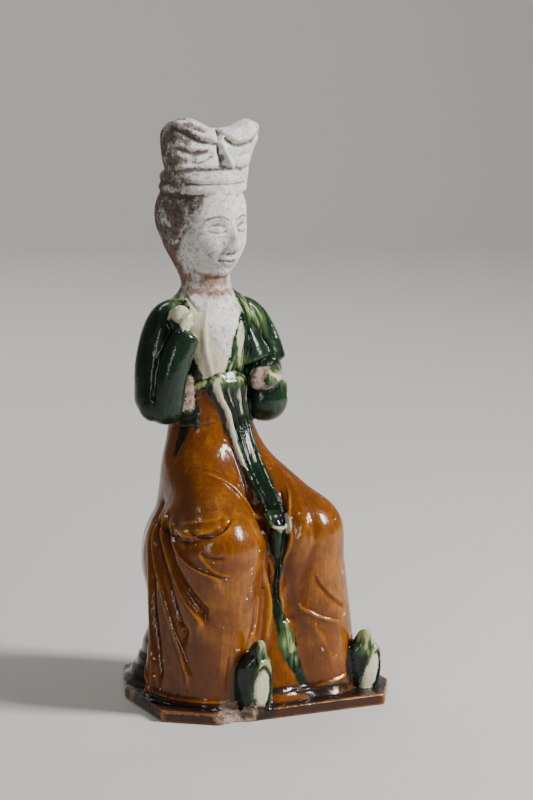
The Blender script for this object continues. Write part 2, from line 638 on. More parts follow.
# The slab's wall from its underside up: rows of (inset, height)
SLAB_WALL = [(0.7, -7.5), (0, -6.8), (0, -5.6), (0, -4.4), (0, -3.4), (0, -2.4), (0, -1.4), (0.5, -0.5),
             (1.4, 0)]
# Chips as balls that bite into the wall: (centre, radii)
CHIPS = [((-49, -86, -2.5), (15, 7.5, 6.5)), ((-76, 2, -1), (5, 6, 5))]


def base_outline():
    """The slab's outline: an oblong whose four corners are cut off, one of them in two slants."""
    w, d = BASE_WIDTH / 2, BASE_DEPTH / 2
    corners = np.array([(31 - w, -d), (w - 19, -d), (w, 33 - d), (w, d - 42), (w - 41, d), (46 - w, d),
                        (20 - w, d - 15), (-w, d - 68), (-w, 24 - d)])
    return np.stack(rotated(*corners.T, BASE_TURN), axis=-1) + BASE_CENTRE


def bitten(points, inward, z, at, radii):
    """Points of an outline at height z, moved inward out of a chip shaped like a ball."""
    rest = 1 - ((z - at[2]) / radii[2]) ** 2
    if rest <= 0:
        return points
    wave = 1 + 0.09 * np.sin(points[:, :1] * 0.9 + z) + 0.07 * np.sin(points[:, 1:2] * 1.7 - 2 * z)
    size = np.array(radii[:2]) * math.sqrt(rest) * wave
    p, v = (points - np.array(at[:2])) / size, inward / size
    pv, vv, pp = (p * v).sum(1), (v * v).sum(1), (p * p).sum(1)
    push = np.where(pp < 1, (-pv + np.sqrt(np.maximum(0, pv ** 2 - vv * (pp - 1)))) / vv, 0)
    return points + inward * push[:, None]


def slab():
    corners = base_outline()
    sides = zip(corners, np.roll(corners, -1, axis=0))
    edge = np.concatenate([np.linspace(a, b, 80, endpoint=False) for a, b in sides])
    inward = corners.mean(0) - edge
    inward /= np.linalg.norm(inward, axis=1, keepdims=True)
    rings = []
    for inset, z in SLAB_WALL:
        outline = edge + inward * inset
        for at, radii in CHIPS:
            outline = bitten(outline, inward, z, at, radii)
        rings.append(np.column_stack([outline, np.full(len(edge), z)]))
    return shell(np.array(rings))


# The whole piece

def gather():
    """Every form, listed by the region that it belongs to."""
    return {
        "skirt": [skirt()],
        "body": [torso(), jacket_edge(LEFT_EDGE), jacket_edge(RIGHT_EDGE)],
        "sash": [sash(), waist_roll(), *sash_end()],
        "right sleeve": right_arm(),
        "web": [right_web()],
        "fist": right_fist(),
        "left sleeve": left_arm(),
        "head": [head(), nape()],
        "hair": [hair()],
        "knot": [topknot(), *knot_band()],
        "shoe": [shoe(-26, -89, 46, -3, OVAL_RIGHT), shoe(61.2, -95.5, 41, -6, OVAL_LEFT)],
        "stool": [stool()],
        "slab": [slab()],
    }


def mesh_object(name, points, faces):
    mesh = bpy.data.meshes.new(name)
    mesh.from_pydata(points.tolist(), [], faces)
    mesh.update()
    obj = bpy.data.objects.new(name, mesh)
    bpy.context.scene.collection.objects.link(obj)
    return obj


def applied(obj):
    """The object's mesh with its modifiers applied, in place of its own."""
    done = bpy.data.meshes.new_from_object(obj.evaluated_get(bpy.context.evaluated_depsgraph_get()))
    old = obj.data
    obj.modifiers.clear()
    obj.data = done
    bpy.data.meshes.remove(old)


def read(items, name, width, kind=float):
    """What every one of a mesh's points or edges has under a name, in rows of width."""
    flat = np.empty(len(items) * width, dtype=kind)
    items.foreach_get(name, flat)
    return flat.reshape(-1, width)


def points_of(mesh):
    return read(mesh.vertices, "co", 3)


def normals_of(mesh):
    return read(mesh.vertices, "normal", 3)


def edges_of(mesh):
    return read(mesh.edges, "vertices", 2, np.int64)


def move_points(mesh, points):
    mesh.vertices.foreach_set("co", points.ravel())
    mesh.update()


def smooth_shaded(mesh):
    mesh.polygons.foreach_set("use_smooth", np.ones(len(mesh.polygons), dtype=bool))


def spread(edges, points, times, amount=0.5):
    """Each point drawn towards the mean of its neighbours, several times over."""
    first, second = edges.T
    count = np.maximum(np.bincount(edges.ravel(), minlength=len(points)), 1)[:, None]
    for _ in range(times):
        sums = [np.bincount(first, column[second], len(column))
                + np.bincount(second, column[first], len(column)) for column in points.T]
        points = mix(points, np.stack(sums, axis=-1) / count, amount)
    return points


def nearest_on(path, points):
    """Distance from each point to a path of places, and how far along the path it lies, from 0 to 1."""
    path = np.array(path, float)
    best = np.full(len(points), 1e9)
    share = np.zeros(len(points))
    steps = np.linalg.norm(np.diff(path, axis=0), axis=1)
    start = np.concatenate([[0], np.cumsum(steps)])
    for i in range(len(path) - 1):
        way = path[i + 1] - path[i]
        t = np.clip((points - path[i]) @ way / (way @ way), 0, 1)
        away = np.linalg.norm(points - path[i] - t[:, None] * way, axis=1)
        closer = away < best
        best[closer] = away[closer]
        share[closer] = ((start[i] + t * steps[i]) / start[-1])[closer]
    return best, share


# Lines pressed into the clay or raised on it: (rise, width, path of places near the surface)
LINES = [
    (1.1, 1.4, [(-30, -30, 147), (-26, -38, 144), (-20, -44, 140), (-16, -47, 136), (-13, -50, 131),
                (-3, -49, 120), (-3, -58, 111), (-3, -61, 106), (0, -63, 100), (2, -66, 95)]),
    (-1.1, 1.1, [(-24, -42, 141), (-18, -47, 135), (-15, -51, 129), (-5, -52, 117), (-5, -59, 109),
                 (-3, -63, 101)]),
    (1.1, 1.3, [(18, -52, 139), (19, -57, 136), (16, -63, 128), (10, -71, 115), (9, -74, 107), (8, -74, 102),
                (7, -72, 95), (6, -70, 90), (3, -69, 78), (1, -69, 67)]),
    (-0.9, 1.1, [(15, -54, 135), (12, -62, 125), (7, -68, 112), (6, -70, 104), (4, -69, 94)]),
    (-1.4, 1.0, [(-58, -51, 114), (-56, -61, 113), (-52, -66, 112), (-46, -70, 115), (-41, -70, 119),
                 (-36, -68, 123)]),
    (-1.0, 0.9, [(-58, -64, 104), (-56, -68, 101), (-52, -72, 100), (-47, -76, 100)]),
    (-0.6, 0.9, [(-31, -28, 148), (-26, -33, 148), (-21, -38, 146)]),
    (-0.6, 0.8, [(-29, 4, 173), (-28, -4, 173), (-24, -12, 174), (-18, -19, 175), (-12, -23, 177)]),
    (-1.5, 1.1, [(11, -13, 256), (16, -15, 248), (18.6, -17, 241), (19, -19, 233), (18, -21, 222),
                 (15.5, -22, 214)]),
    (0.9, 1.6, [(8, -14, 256), (12, -17, 248), (13, -19, 240), (12, -21, 231), (9, -23, 221)]),
    (-1.0, 1.0, [(-20, 2, 260), (-21, -8, 253), (-19, -13, 247)]),
    (-1.1, 1.2, [(24, -8, 252), (30, -11, 243), (34, -14, 232), (35, -16, 222)]),
    (-0.9, 1.0, [(34, -4, 246), (41, -8, 234), (44, -11, 222)]),
    (-1.0, 1.0, [(44, -29, 190), (48, -22, 189), (49, -15, 190)]),
    (-2.0, 1.5, [(-50, -9, 223), (-51, -9, 212), (-52, -9, 203), (-53, -8, 192)]),
    (1.6, 4.5, [(4, -72, 52), (5, -76, 40), (7, -79, 28)]),
    (-0.9, 0.8, [(-36, -18, 247.5), (-31, -19, 249), (-26, -15, 248.5)]),
    (-0.9, 0.8, [(-35, -19, 243.5), (-30, -19, 245), (-25.5, -15, 244.5)]),
    (-0.9, 0.8, [(-34, -19, 239.5), (-29, -19, 241), (-25.5, -15, 240.5)]),
]
# More of them on the skirt, with paths in rows of (height, degrees round its axis)
SKIRT_LINES = [
    (-1.1, 1.1, [(81, 292), (73, 295), (64, 301), (56, 309)]), (1.0, 1.3, [(60, 287), (51, 296), (47, 305)]),
    (-1.0, 1.0, [(35, 312), (33, 318), (36, 322)]), (-1.2, 1.0, [(97, 257), (84, 260), (70, 262)]),
    (1.0, 1.2, [(72, 253), (56, 251), (40, 246)]), (-0.9, 0.9, [(66, 249), (52, 247), (38, 241)]),
    (-1.2, 1.7, [(112, 150), (112, 174), (110, 190), (109, 205), (109, 214), (111, 221), (113, 227),
                 (116, 233)]),
    (1.2, 2.2, [(117, 165), (116, 186), (114, 203), (113, 213), (115, 220), (118, 227)]),
    (1.0, 1.1, [(104, 218), (94, 223), (89, 229), (88, 234)]),
    (1.5, 1.3, [(24, 160), (13, 163), (7, 170), (5, 183), (4, 196), (4, 208), (4, 221), (5, 234)]),
    (-0.7, 0.8, [(36, 231), (24, 230), (10, 229)]),
    (1.3, 1.3, [(4, 273), (4, 282), (7, 294), (10, 303), (13, 308)]),
    (-1.1, 1.0, [(100, 268), (84, 271), (68, 272), (52, 271)]),
    (1.1, 1.2, [(98, 276), (84, 281), (70, 279), (58, 279)]),
]


def skirt_paths():
    """The skirt's lines as places in space."""
    for rise, width, path in SKIRT_LINES:
        height, degrees = np.array(path, float).T
        yield rise, width, list(zip(*on_skirt(height, np.radians(degrees))))


# The steps of a path along the surface, in millimetres
LINE_STEP = 1.5


def laid_on(path, points, tree):
    """A path through places near the surface, laid on the surface in short steps."""
    path = np.array(path, float)
    length = np.linalg.norm(np.diff(path, axis=0), axis=1).sum()
    places, _ = curve_points(path, np.linspace(0, 1, max(3, int(length / LINE_STEP))))
    laid = points[[tree.find(place)[1] for place in places.tolist()]]
    for _ in range(3):
        laid[1:-1] = (laid[:-2] + 2 * laid[1:-1] + laid[2:]) / 4
    return laid


def press_lines(points, normals, tree):
    push = np.zeros(len(points))
    for rise, width, path in [*LINES, *skirt_paths()]:
        path = laid_on(path, points, tree)
        low, high = np.min(path, axis=0) - 3 * width, np.max(path, axis=0) + 3 * width
        near = np.all((points > low) & (points < high), axis=1)
        away, share = nearest_on(path, points[near])
        push[near] += rise * bell(away, width) * window(0, 0.15, 0.85, 1, share)
    return points + normals * push[:, None]


def keep_largest_shell(mesh):
    """Leaves only the biggest connected shell, without the specks that the remesh shuts inside it."""
    edges = edges_of(mesh)
    label, lower = None, np.arange(len(mesh.vertices))
    while label is None or not np.array_equal(lower, label):
        label, lower = lower, lower.copy()
        np.minimum.at(lower, edges[:, 0], label[edges[:, 1]])
        np.minimum.at(lower, edges[:, 1], label[edges[:, 0]])
        lower = lower[lower]
    biggest = np.bincount(label).argmax()
    work = bmesh.new()
    work.from_mesh(mesh)
    specks = [point for point in work.verts if label[point.index] != biggest]
    bmesh.ops.delete(work, geom=specks, context="VERTS")
    work.to_mesh(mesh)
    work.free()


def joined(forms):
    """One object of all the forms, made a single closed surface by a fine voxel remesh."""
    points, faces, start = [], [], 0
    for form_points, form_faces in sum(forms.values(), []):
        points.append(form_points)
        faces.extend([[i + start for i in face] for face in form_faces])
        start += len(form_points)
    obj = mesh_object("glazed_attendant", np.vstack(points), faces)
    remesh = obj.modifiers.new("one piece", "REMESH")
    remesh.mode = "VOXEL"
    remesh.voxel_size = VOXEL
    remesh.adaptivity = 0
    applied(obj)
    return obj


def build_figure(forms):
    """The figure, softened and with its lines pressed in, and the paths of its painted lines on it."""
    obj = joined(forms)
    mesh = obj.data
    edges = edges_of(mesh)
    move_points(mesh, spread(edges, points_of(mesh), SOFTEN))
    points = points_of(mesh)
    tree = tree_of(points)
    points = press_lines(points, normals_of(mesh), tree)
    move_points(mesh, points)
    hollow = cavity(points, normals_of(mesh), edges)
    strokes = {name: [(laid_on(path, points, tree), radii) for path, radii in paths]
               for name, paths in STROKES.items()}
    thin = obj.modifiers.new("fewer faces", "DECIMATE")
    thin.ratio = min(1.0, TRIANGLES / (2 * len(mesh.polygons)))
    applied(obj)
    keep_largest_shell(obj.data)
    found = [tree.find(point)[1] for point in points_of(obj.data)]
    store(obj.data, "hollow", hollow[found])
    return obj, strokes


# How far the surface is evened out before it is measured against itself
CAVITY_ROUNDS, CAVITY_PULL = 24, 0.8


def cavity(points, normals, edges):
    """Where the surface is hollow, above 0, or stands out, below 0, in millimetres at a fold's scale."""
    around = spread(edges, points, CAVITY_ROUNDS, CAVITY_PULL)
    return np.einsum("ij,ij->i", around - points, normals)


def tree_of(points):
    tree = KDTree(len(points))
    for i, point in enumerate(points.tolist()):
        tree.insert(point, i)
    tree.balance()
    return tree


def store(mesh, name, values):
    attribute = mesh.attributes.new(name, "FLOAT", "POINT")
    attribute.data.foreach_set("value", np.ascontiguousarray(values, dtype=np.float32))


# Where each glaze lies: every layer is a distance in millimetres, above 0 inside it

# How far out distances are worked out, and kept, in millimetres
REACH, KEPT = 9, 8
# A region with more points than this is measured from every third of them
MANY_POINTS = 100000

CHEST_RIGHT = [(206, -17), (213, -20), (224, -24), (236, -26), (248, -25), (254, -23), (262, -19)]
CHEST_LEFT = [(210, -4), (217, -2), (224, 0), (233, 3), (240, 7), (248, 11), (256, 11.5), (262, 12)]
CHEST_BACK = [(240, -2), (250, 0), (256, 3), (262, 8)]
SLIP_RIGHT = [(213, 1), (220, -4), (232, -12.5), (244, -16), (252, -19), (262, -24)]
SLIP_LEFT = [(213, 0), (229, 0), (236, 4.4), (251, 9.3), (262, 9)]
# Cream streaks on the sash's pleats: (place across from -1 to 1, width, from height, to height, strength)
STRIPES = [(-0.76, 0.15, 147, 207, 1.3), (0.2, 0.1, 188, 199, 0.8), (0.13, 0.07, 179, 187, 0.9),
           (0.2, 0.13, 150, 168, 1.1), (0.6, 0.09, 188, 200, 0.8), (-0.32, 0.05, 186, 200, 0.75),
           (0.88, 0.08, 150, 164, 0.7), (0.6, 0.06, 134, 156, 0.65), (-0.3, 0.05, 128, 150, 0.6)]

# Painted lines on the surface: (path of places near it, half widths along it)
STROKES = {
    "green": [
        ([(-27, -8, 184), (-29, -7, 175), (-31, -6, 168), (-32, -5, 161), (-33, -5, 156)],
         [8, 5, 3.6, 3, 1.6]),
        ([(-23, -13, 184), (-22, -14, 176), (-23, -13, 171)], [4, 2.2, 1.2]),
        ([(5, -68, 112), (5, -69, 100), (4, -67, 91), (4, -67, 83), (1, -68, 74), (0, -70, 64), (0, -72, 55),
          (2, -75, 42), (5, -78, 28), (9, -80, 18), (13, -83, 7)],
         [6, 4.5, 3.4, 2.8, 2.6, 3, 4.5, 7, 6, 4, 3]),
    ],
    "cream": [
        ([(9.5, -19, 240), (9, -20, 234), (8, -21, 226), (7, -21, 219)], [1.4, 2.8, 3, 1.8]),
        ([(24, -34, 206), (31, -31, 203), (40, -22, 202), (46, -10, 202)], [1, 2, 1.4, 1.8]),
        ([(-4, -70, 112), (0, -72, 110), (6, -73, 109.5), (10, -70, 113), (11, -67, 118)],
         [1.2, 2.2, 2.4, 2.1, 1.3]),
        ([(-17, 2, 260), (-17, -8, 252), (-12, -17, 245)], [1, 2, 1.5]),
    ],
    "clay": [
        ([(13, -30, 197), (15, -31, 203), (18, -31, 207), (23, -31, 210)], [2.5, 5, 4.5, 1.5]),
        ([(19, -33, 198), (27, -33, 197)], [1.6, 0.8]),
        ([(-57, -78, -3), (-49, -84, -3), (-38, -88, -3)], [3, 7, 5]),
        ([(-44, -72, 0), (-33, -66, 0)], [5, 3]),
        ([(-79, 4, -2), (-75, 2, 0)], [4, 5]), ([(69, -91, 20), (68, -91, 27)], [3.6, 4.2]),
        ([(-52, -71, 1), (-62, -66, 1)], [1, 0.4]),
    ],
    "dark": [
        ([(-30, -6, 170), (-32, -5, 162), (-33, -5, 155)], [1.5, 3, 1.6]),
        ([(1, -66, 114), (4, -66, 117)], [3, 3.4]),
        ([(-30, -62, 2), (-5, -74, 2), (20, -84, 2), (40, -86, 2)], [2.4, 2, 3.4, 2.4]),
        ([(-41, -84, 12), (-41, -82, 26), (-36, -82, 40)], [1.6, 2.4, 1]),
        ([(-14, -86, 14), (-15, -85, 26), (-20, -84, 36)], [1.6, 2, 1]),
        ([(46, -92, 6), (46, -90, 20), (49, -88, 34)], [3, 3.4, 1.5]),
        ([(-12, -21, 198), (-9, -23, 184), (-7, -27, 168)], [3.5, 2.4, 1.2]),
        ([(-70, -46, 1), (-50, -70, 1), (-20, -84, 1)], [1.2, 1, 1.2]),
        ([(-51, -72, 30), (-51, -72, 12)], [0.7, 0.9]), ([(-72, -20, 4), (-66, -40, 3)], [2, 1.4]),
    ],
    "pale": [
        ([(13, -10, 256), (20, -10, 250), (28, -12, 240), (33, -14, 228)], [6, 7, 7, 5]),
        ([(-17, 0, 260), (-20, -8, 253), (-14, -17, 245)], [9, 8, 5]),
        ([(-24, -2, 256), (-30, -6, 250)], [7, 5]),
        ([(11, -22, 226), (10, -23, 216), (14, -24, 208)], [6, 7, 5]),
        ([(38, -4, 247), (47, -8, 232), (54, -10, 216)], [4, 4, 3]),
        ([(26, -35, 206), (36, -27, 204), (47, -10, 204)], [6, 6, 6]),
        ([(3, -74, 50), (5, -78, 36), (8, -80, 26)], [4, 8, 5]),
        ([(-20, -12, 200), (-14, -18, 204), (-6, -23, 207), (4, -26, 208), (12, -24, 205)], [5, 6, 7, 7, 5]),
        ([(-26, -100, 44), (-26, -100, 32)], [6, 9]), ([(56, -104, 40), (58, -106, 28)], [6, 9]),
    ],
}


def common(*layers):
    """Distance inside all of several layers at once."""
    return np.minimum.reduce(layers)


def united(*layers):
    """Distance inside any of several layers."""
    return np.maximum.reduce(layers)


def strokes_of(strokes, points):
    """Distance inside the widest of several painted lines, no further out than REACH.

    The half width of each goes through its radii, spaced evenly along it.
    """
    found = np.full(len(points), -float(REACH))
    for path, radii in strokes:
        reach = REACH + max(radii)
        near = np.all((points > path.min(0) - reach) & (points < path.max(0) + reach), axis=1)
        away, share = nearest_on(path, points[near])
        half = np.interp(share, np.linspace(0, 1, len(radii)), radii)
        found[near] = np.maximum(found[near], half - away)
    return found


def region_distances(forms, points):
    """Distance from each point to each region's forms, no further than REACH."""
    found = {}
    for name, shells in forms.items():
        region = np.vstack([shell_points for shell_points, _ in shells])
        tree = tree_of(region[::3] if len(region) > MANY_POINTS else region)
        near = np.all((points > region.min(0) - REACH) & (points < region.max(0) + REACH), axis=1)
        found[name] = np.full(len(points), float(REACH))
        found[name][near] = [tree.find(point)[2] for point in points[near].tolist()]
    return found


def oval(place, points):
    """Distance inside the painted oval on the front of a shoe."""
    x, z = points[:, 0] - place[0], points[:, 2] - place[1]
    return (1 - np.hypot((x - place[3] * z) / place[2], z / OVAL_HEIGHT)) * place[2] - (points[:, 1] > -80)


def face_ink(points):
    """Distance inside the thin painted lines of the face, and inside its lips."""
    x, z = points[:, 0] / FACE_UNIT, (points[:, 2] - HEAD_CENTRE[2]) / FACE_UNIT
    side = np.abs(x)
    eye = side - EYE_APART
    brow = common(0.55 - np.abs(z - 8.2 + 0.05 * eye ** 2), 7 - np.abs(eye))
    lid = common(0.4 - np.abs(z - eyelid(eye)), 5.4 - np.abs(eye))
    line = z - mouth_line(x)
    mouth = common(0.4 - np.abs(line), 6.9 - side)
    lips = common(2.1 - 0.05 * side ** 2 - np.abs(line + 0.3), 6 - side)
    out = np.where(points[:, 1] < HEAD_CENTRE[1] - 8, 0, -9)
    return united(brow, lid, mouth) + out, lips + out


def paint(mesh, forms, strokes):
    """Stores on the mesh where each glaze lies, and how stained and worn it is."""
    points = points_of(mesh)
    x, y, z = points.T
    away = region_distances(forms, points)
    away["slab"] = np.minimum(away["slab"], np.maximum(z, 0))
    lines = {name: strokes_of(paths, points) for name, paths in strokes.items()}

    def region(*names):
        """Distance inside the given regions from their border with the others."""
        others = common(*(away[name] for name in away if name not in names))
        return others - common(*(away[name] for name in names))

    cloth = region("sash", "right sleeve", "left sleeve")
    chest = common(x - along(CHEST_RIGHT, z), along(CHEST_LEFT, z) - x, along(CHEST_BACK, z) - y, z - 205,
                   -cloth)
    skin = united(region("head", "hair", "knot"), z - 261)
    bare_chest = common(chest, x - along(SLIP_RIGHT, z), along(SLIP_LEFT, z) - x, z - 214)
    jacket = z - mix(190, 197, smoothstep(10, -5, y))
    pool = common(5 - np.minimum(away["skirt"], away["shoe"]), region("slab"))
    overlaid = ("right sleeve", "left sleeve", "fist", "sash", "web")
    green = common(region("body", *overlaid), united(jacket, region(*overlaid)))
    soles = common(region("shoe"), united(oval(OVAL_RIGHT, points), oval(OVAL_LEFT, points)))
    fist = common(region("fist"), z - 238, x + 0.5 * (z - 244) + 39)
    ink, lips = face_ink(points)
    layers = {
        "green": united(green, region("shoe", "stool"), lines["green"]),
        "cream": united(chest, lines["cream"], soles, fist),
        "slip": united(skin, bare_chest),
        "clay": united(lines["clay"], common(region("web"), z - 186)),
        "dark": united(lines["dark"], pool),
        "sash": region("sash"),
        "slab": region("slab"),
        "stool": region("stool", "slab"),
        "hair": common(united(region("hair", "knot"), y - along(HAIR_EDGE, z)), z - 276),
        "ink": ink,
        "lips": lips,
    }
    for name, layer in layers.items():
        store(mesh, name, np.clip(layer, -KEPT, KEPT))
    store(mesh, "pale", np.clip(0.5 + lines["pale"] / 8, 0, 1))
    store(mesh, "stripe", stripes(x, z))
    for name, share in wear(points).items():
        store(mesh, name, share)


def stripes(x, z):
    """The strength of the cream streaks on the sash."""
    across = (x - along(SASH, z)) / along(SASH, z, 2)
    bent = pleat_place((z - SASH[0][0]) / (SASH[-1][0] - SASH[0][0]), across)
    return sum(strength * bell(bent - at, width) * window(low - 4, low + 4, high - 3, high + 3, z)
               for at, width, low, high, strength in STRIPES)


def wear(points):
    """How dark the amber is, how worn the hair's pigment, and how stained the neck and chin."""
    x, y, z = points.T
    cx, cy = skirt_axis(z)
    turned = np.degrees(np.arctan2(y - cy, x - cx)) % 360
    fan = window(120, 165, 205, 228, turned) * smoothstep(118, 106, z)
    side = np.stack([x, y - 6], axis=-1) @ np.array([0.80, -0.6])
    worn = smoothstep(-26, 16, side - 0.12 * (z - 330) - 12 * smoothstep(326, 316, z))
    nape_side = bell(x + 0.9 * y + 9, 9) * window(258, 266, 282, 298, z) * (x < 0)
    chin = bell(np.linalg.norm((points - np.array([-4, -11, 268])) / np.array([19, 17, 6.5]), axis=1), 1)
    return {
        "shade": 0.2 * smoothstep(60, 5, z) + 0.3 * fan + 0.2 * smoothstep(95, 150, z),
        "worn": worn * smoothstep(16, 4, y),
        "stain": united(0.85 * nape_side, chin, 0.75 * bell(z - 261, 5)),
    }


def place_in_metres(obj):
    move_points(obj.data, (points_of(obj.data) + PLACE) * MM)
    smooth_shaded(obj.data)


# Materials

class Nodes:
    """Short calls that add linked nodes to a material."""

    def __init__(self, material):
        material.use_nodes = True
        self.tree = material.node_tree
        self.shader = self.tree.nodes["Principled BSDF"]
        self.place = self.add("TexCoord", {}, "Object")

    def add(self, kind, inputs, output=0, **settings):
        """The output of a new node that has these settings and gets these inputs."""
        node = self.tree.nodes.new("ShaderNode" + kind)
        for name, setting in settings.items():
            setattr(node, name, setting)
        for socket, value in inputs.items():
            self.feed(node.inputs[socket], value)
        return node.outputs[output]

    def feed(self, socket, value):
        if isinstance(value, bpy.types.NodeSocket):
            self.tree.links.new(value, socket)
        elif isinstance(value, tuple) and socket.type == "RGBA":
            socket.default_value = (*value, 1)
        else:
            socket.default_value = value

    def layer(self, name):
        return self.add("Attribute", {}, "Fac", attribute_name=name)

    def math(self, kind, *values):
        return self.add("Math", dict(enumerate(values)), operation=kind)

    def times(self, a, b):
        return self.math("MULTIPLY", a, b)

    def varied(self, base, texture, amount):
        """A value moved up and down by a texture around its middle."""
        return self.math("MULTIPLY_ADD", self.math("SUBTRACT", texture, 0.5), amount, base)

    def step(self, value, low, high, first=0.0, last=1.0):
        """Goes softly from first to last as value goes from low to high."""
        inputs = {"Value": value, "From Min": low, "From Max": high, "To Min": first, "To Max": last}
        return self.add("MapRange", inputs, interpolation_type="SMOOTHSTEP")

    def inside(self, name, edge, reach):
        """The share of a painted layer, whose edge wanders by reach and is soft over edge, in millimetres."""
        return self.step(self.math("MULTIPLY_ADD", self.wobble, reach, self.layer(name)), -edge, edge)

    def stretched(self, scale):
        return self.add("Mapping", {"Scale": scale, "Vector": self.place})

    def noise(self, scale, detail=4.0, rough=0.55, at=None, warp=0.0):
        inputs = {"Scale": scale, "Detail": detail, "Roughness": rough, "Distortion": warp}
        return self.add("TexNoise", {**inputs, "Vector": self.place if at is None else at}, "Fac")

    def shaken(self, scale, reach):
        """Places moved on by up to reach, in metres, so that round spots turn ragged."""
        noise = self.add("TexNoise", {"Scale": scale, "Vector": self.place}, "Color")
        return self.add("VectorMath", {0: noise, 1: (reach, reach, reach), 2: self.place},
                        operation="MULTIPLY_ADD")

    def cells(self, scale, at=None):
        """Distance to the nearest of many scattered points."""
        inputs = {"Scale": scale, "Vector": self.place if at is None else at}
        return self.add("TexVoronoi", inputs, "Distance")

    def blend(self, share, a, b):
        """The colour a where share is none, and b where it is whole."""
        return self.add("Mix", {0: share, 6: a, 7: b}, 2, data_type="RGBA")

    def coat(self, colour, share, strength, over):
        """A colour under a coat of another, which is as strong as strength where share is whole."""
        return self.blend(self.times(share, strength), colour, over)

    def value(self, share, a, b):
        return self.add("Mix", {0: share, 2: a, 3: b})

    def bump(self, height, distance, strength, under=None):
        inputs = {"Strength": strength, "Distance": distance, "Height": height}
        return self.add("Bump", inputs if under is None else {**inputs, "Normal": under})


def glaze_material():
    material = bpy.data.materials.new("lead glazes on clay")
    n = Nodes(material)
    n.wobble = n.times(n.math("SUBTRACT", n.noise(230, 5, 0.62), 0.5), 6.0)
    n.streak = n.noise(400, 4, 0.62, n.stretched((1, 1, 0.14)), 0.6)
    n.mottle = n.noise(48, 5, 0.62)
    n.hollow = n.layer("hollow")
    bare = n.inside("slip", 1.5, 1.6)
    broken = n.inside("clay", 0.4, 1.8)
    stool = n.times(n.inside("stool", 0.6, 0.2), n.step(n.layer("slab"), 0.5, -0.5))
    colour = n.blend(n.inside("slab", 0.8, 0.4), amber_glaze(n), slab_glaze(n))
    colour = n.blend(n.inside("green", 0.9, 0.5), colour, green_glaze(n))
    colour = n.coat(colour, n.inside("dark", 1.2, 0.7), 0.88, (0.010, 0.009, 0.009))
    colour = n.blend(stool, colour, stool_glaze(n))
    colour = n.blend(sash_stripes(n), colour, cream_glaze(n))
    colour = n.blend(n.inside("cream", 0.7, 0.6), colour, cream_glaze(n))
    colour = n.blend(bare, colour, bare_slip(n))
    colour = n.blend(broken, colour, broken_clay(n))
    n.feed(n.shader.inputs["Base Color"], colour)
    dull = n.math("MAXIMUM", bare, broken)
    smears = n.step(n.noise(600, 4, 0.7), 0.45, 0.75)
    gloss = n.math("MULTIPLY_ADD", smears, 0.12, n.step(n.mottle, 0.3, 0.7, 0.07, 0.20))
    n.feed(n.shader.inputs["Roughness"], n.value(dull, gloss, 0.8))
    ripple = n.bump(n.noise(120, 4, 0.5), 0.0016, 0.4)
    peel = n.bump(n.noise(420, 2, 0.5), 0.0004, 0.25, ripple)
    pits = n.bump(n.step(n.cells(330), 0.16, 0.05), 0.0005, -0.35, peel)
    grain = n.bump(n.times(n.noise(1000, 5, 0.75), dull), 0.0011, 0.9, pits)
    n.feed(n.shader.inputs["Normal"], grain)
    n.shader.inputs["IOR"].default_value = 1.44
    return material


def amber_glaze(n):
    light, mid, dark = (0.32, 0.114, 0.011), (0.142, 0.038, 0.004), (0.016, 0.005, 0.003)
    depth = n.varied(n.varied(n.hollow, n.mottle, 1.8), n.streak, 0.9)
    depth = n.math("ADD", depth, n.layer("shade"))
    colour = n.blend(n.step(depth, -0.6, 0.25), light, mid)
    colour = n.blend(n.step(depth, 0.3, 1.2), colour, dark)
    brown = n.step(n.noise(95, 5, 0.7, n.stretched((1, 1, 0.3))), 0.52, 0.72)
    colour = n.coat(colour, brown, 0.6, (0.050, 0.013, 0.004))
    dotted = n.times(n.step(n.cells(420), 0.16, 0.06), n.step(n.noise(60, 3), 0.45, 0.6))
    colour = n.coat(colour, dotted, 0.75, (0.03, 0.010, 0.005))
    chips = n.step(n.cells(130, n.shaken(420, 0.005)), 0.13, 0.07)
    return n.blend(n.times(chips, n.step(n.noise(34, 2), 0.52, 0.59)), colour, (0.66, 0.55, 0.46))


def slab_glaze(n):
    worn = n.varied(n.hollow, n.mottle, 0.7)
    rim = n.blend(n.step(worn, -0.75, -0.4), (0.28, 0.10, 0.022), (0.045, 0.015, 0.006))
    return n.blend(n.step(worn, -0.3, 0.1), rim, (0.011, 0.007, 0.006))


def stool_glaze(n):
    return n.blend(n.step(n.hollow, -0.3, 0.1), (0.030, 0.028, 0.014), (0.005, 0.007, 0.006))


def green_glaze(n):
    light, soft = (0.36, 0.40, 0.17), (0.045, 0.085, 0.028)
    mid, dark = (0.0075, 0.022, 0.0105), (0.002, 0.006, 0.005)
    slow = n.noise(170, 4, 0.6, n.stretched((1, 1, 0.2)), 0.5)
    flow = n.varied(n.varied(n.times(n.hollow, 0.7), slow, 2.8), n.streak, 0.8)
    lighter = n.math("MULTIPLY_ADD", n.layer("pale"), -1.1, flow)
    colour = n.blend(n.step(lighter, -1.0, -0.35), soft, mid)
    colour = n.blend(n.step(lighter, -1.6, -0.95), light, colour)
    return n.blend(n.step(flow, -0.1, 0.5), colour, dark)


def cream_glaze(n):
    colour = n.blend(n.step(n.streak, 0.40, 0.64), (0.60, 0.555, 0.41), (0.45, 0.44, 0.27))
    colour = n.coat(colour, n.step(n.noise(150, 4, 0.6), 0.56, 0.74), 0.75, (0.19, 0.25, 0.11))
    return n.blend(n.step(n.hollow, 0.45, 1.0), colour, (0.10, 0.11, 0.05))


def sash_stripes(n):
    """Share of cream along the sash's pleats."""
    broken = n.varied(n.layer("stripe"), n.streak, 1.9)
    return n.times(n.step(broken, 0.35, 0.85), n.step(n.layer("sash"), 0.2, 0.9))


